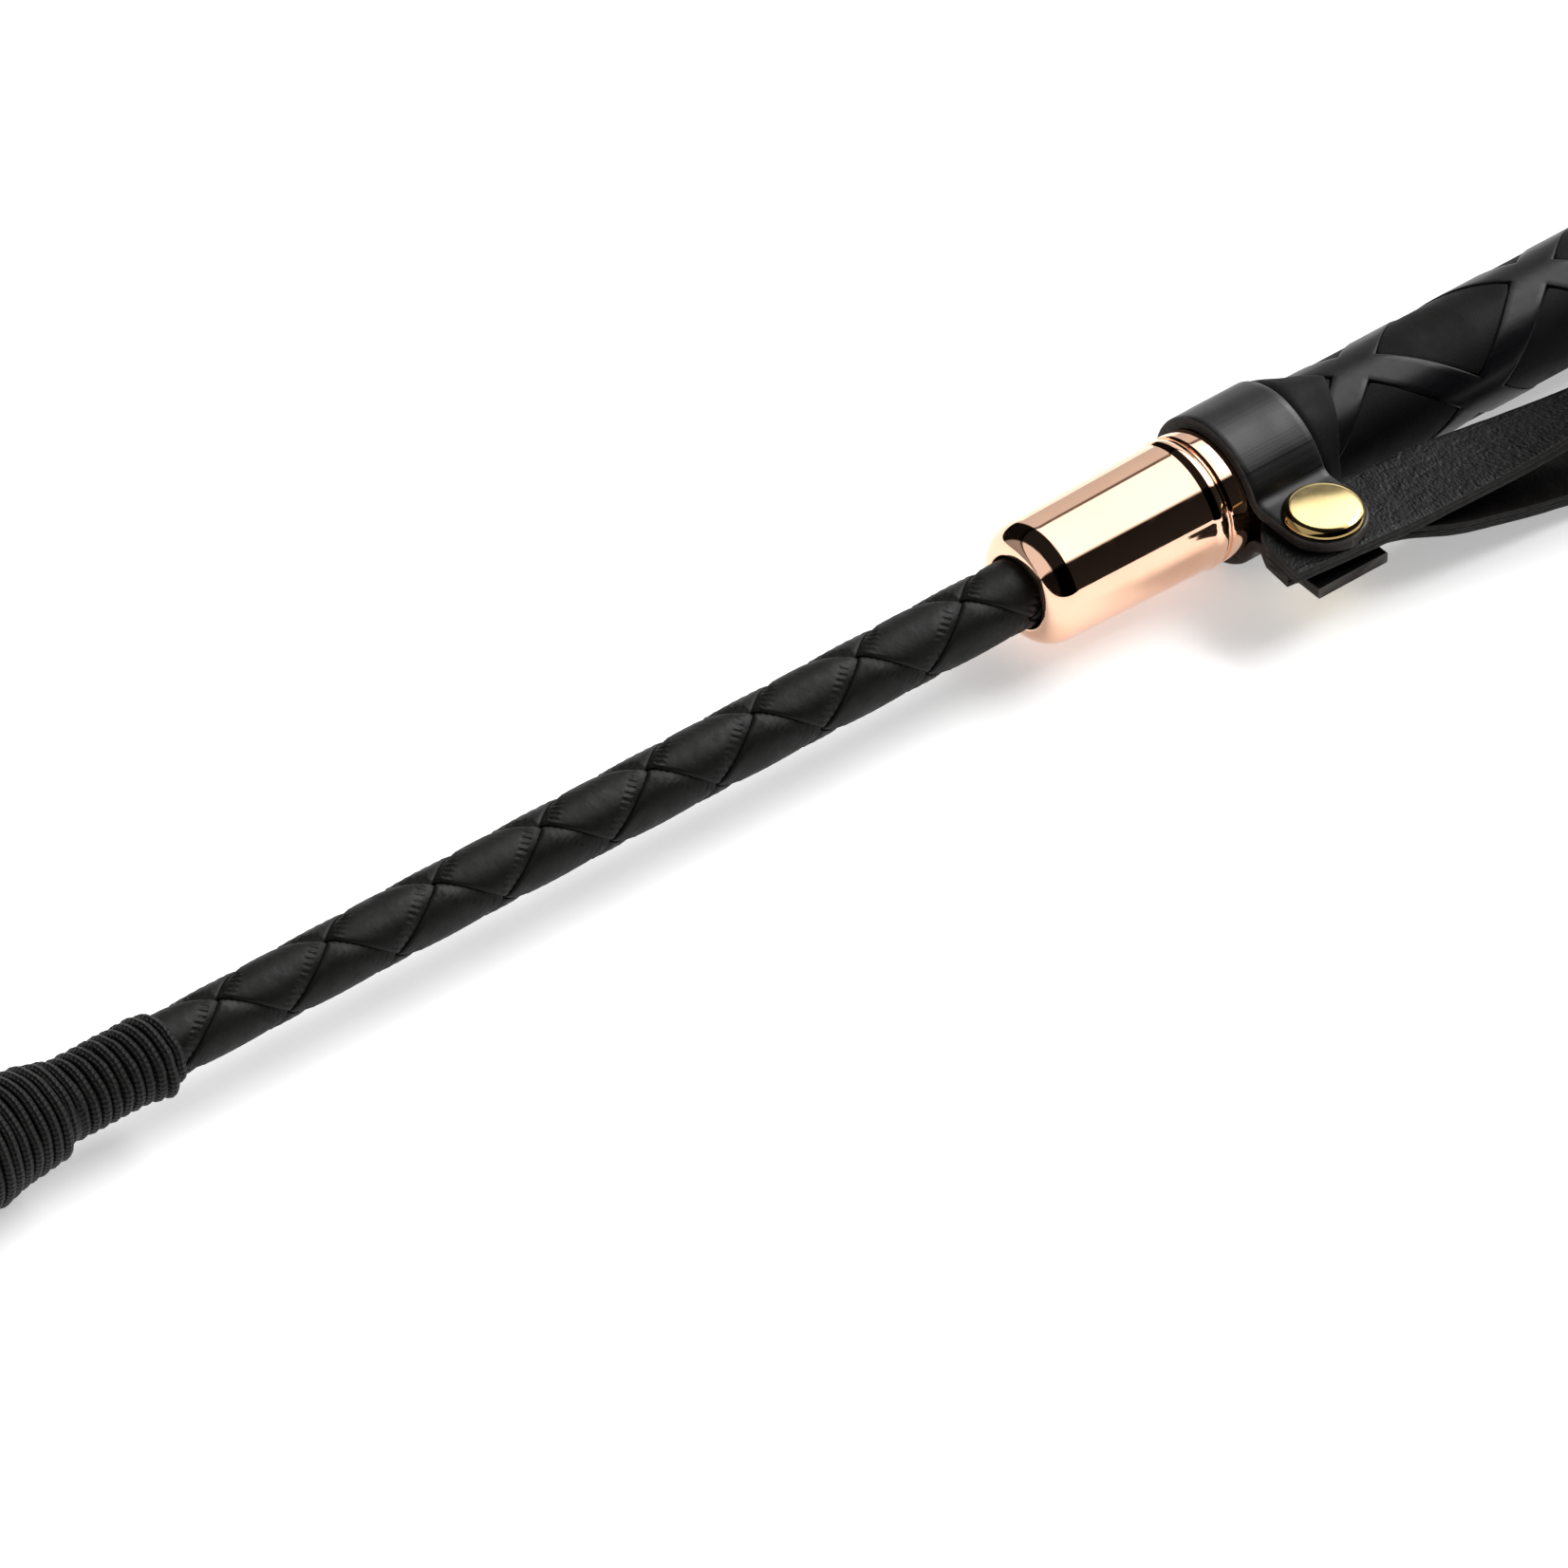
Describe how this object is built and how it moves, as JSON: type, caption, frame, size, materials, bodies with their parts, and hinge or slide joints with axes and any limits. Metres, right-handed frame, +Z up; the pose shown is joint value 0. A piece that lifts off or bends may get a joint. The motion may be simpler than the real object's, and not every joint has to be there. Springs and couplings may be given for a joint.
{
  "type": "riding crop",
  "caption": "Short riding crop with a plaited leather shaft, polished ferrule and pommel, folded leather keeper and a riveted wrist loop.",
  "frame": {"origin": "centre of the flat butt face of the pommel, on the shaft line", "axes": "+X along the shaft, out of the butt; +Z up as the crop lies, with the collar tabs and wrist loop on the -Y side"},
  "size_m": [0.3496, 0.0434, 0.017],
  "materials": {
    "glass_fibre": "pultruded rod",
    "filler_cord": "packed cord filler",
    "plait_leather": "smooth satin black",
    "whipping_thread": "braided waxed thread",
    "keeper_leather": "pebbled satin black",
    "rose_gold": "mirror-polished rose-gold plating",
    "bush_plastic": "moulded",
    "grip_core_wood": "turned dowel",
    "grip_gloss": "smooth gloss, black with a plum cast",
    "grip_matte": "matte charcoal",
    "collar_leather": "smooth satin black with a raw brown-black edge",
    "rivet_brass": "polished",
    "strap_leather": "fine pebble grain, black",
    "strap_lining": "flesh side, brown-black"
  },
  "bodies": {
    "crop": {"core_rod": "glass_fibre", "shaft_underlay": "filler_cord", "braid_thong_1": "plait_leather", "braid_thong_2": "plait_leather", "braid_thong_3": "plait_leather", "braid_thong_4": "plait_leather", "thin_whipping": "whipping_thread", "thick_whipping": "whipping_thread", "keeper_root": "keeper_leather", "ferrule_shell": "rose_gold", "ferrule_bush": "bush_plastic", "grip_core": "grip_core_wood", "grip_sleeve": "grip_gloss", "grip_pads": "grip_matte", "grip_hem": "grip_matte", "pommel_cap": "rose_gold"},
    "collar": {"collar_band": "collar_leather", "rivet_cap": "rivet_brass", "rivet_shank": "rivet_brass", "rivet_back_cap": "rivet_brass"},
    "loop_root": {"strap_end_upper": "strap_leather", "strap_end_lower": "strap_leather"},
    "wrist_loop": {"wrist_loop_outer": "strap_leather", "wrist_loop_lining": "strap_lining"},
    "keeper": {"keeper_flap": "keeper_leather"}
  },
  "joints": [
    {"name": "collar_swivel", "type": "hinge", "parent": "crop", "child": "collar", "pos_m": [-0.08405, 0, 0], "axis": [1, 0, 0], "continuous": true},
    {"name": "loop_pivot", "type": "hinge", "parent": "collar", "child": "loop_root", "pos_m": [-0.08405, -0.0133, 0], "axis": [0, 0, -1], "range_deg": [-3, 9]},
    {"name": "loop_flex", "type": "hinge", "parent": "loop_root", "child": "wrist_loop", "pos_m": [-0.07668, -0.01395, 0], "axis": [-0.0872, -0.9962, 0], "range_deg": [-75, 75], "stiffness_Nm_per_rad": 0.03},
    {"name": "keeper_flex", "type": "hinge", "parent": "crop", "child": "keeper", "pos_m": [-0.2598, 0, 0], "axis": [0, 1, 0], "range_deg": [-50, 50], "stiffness_Nm_per_rad": 0.08}
  ]
}
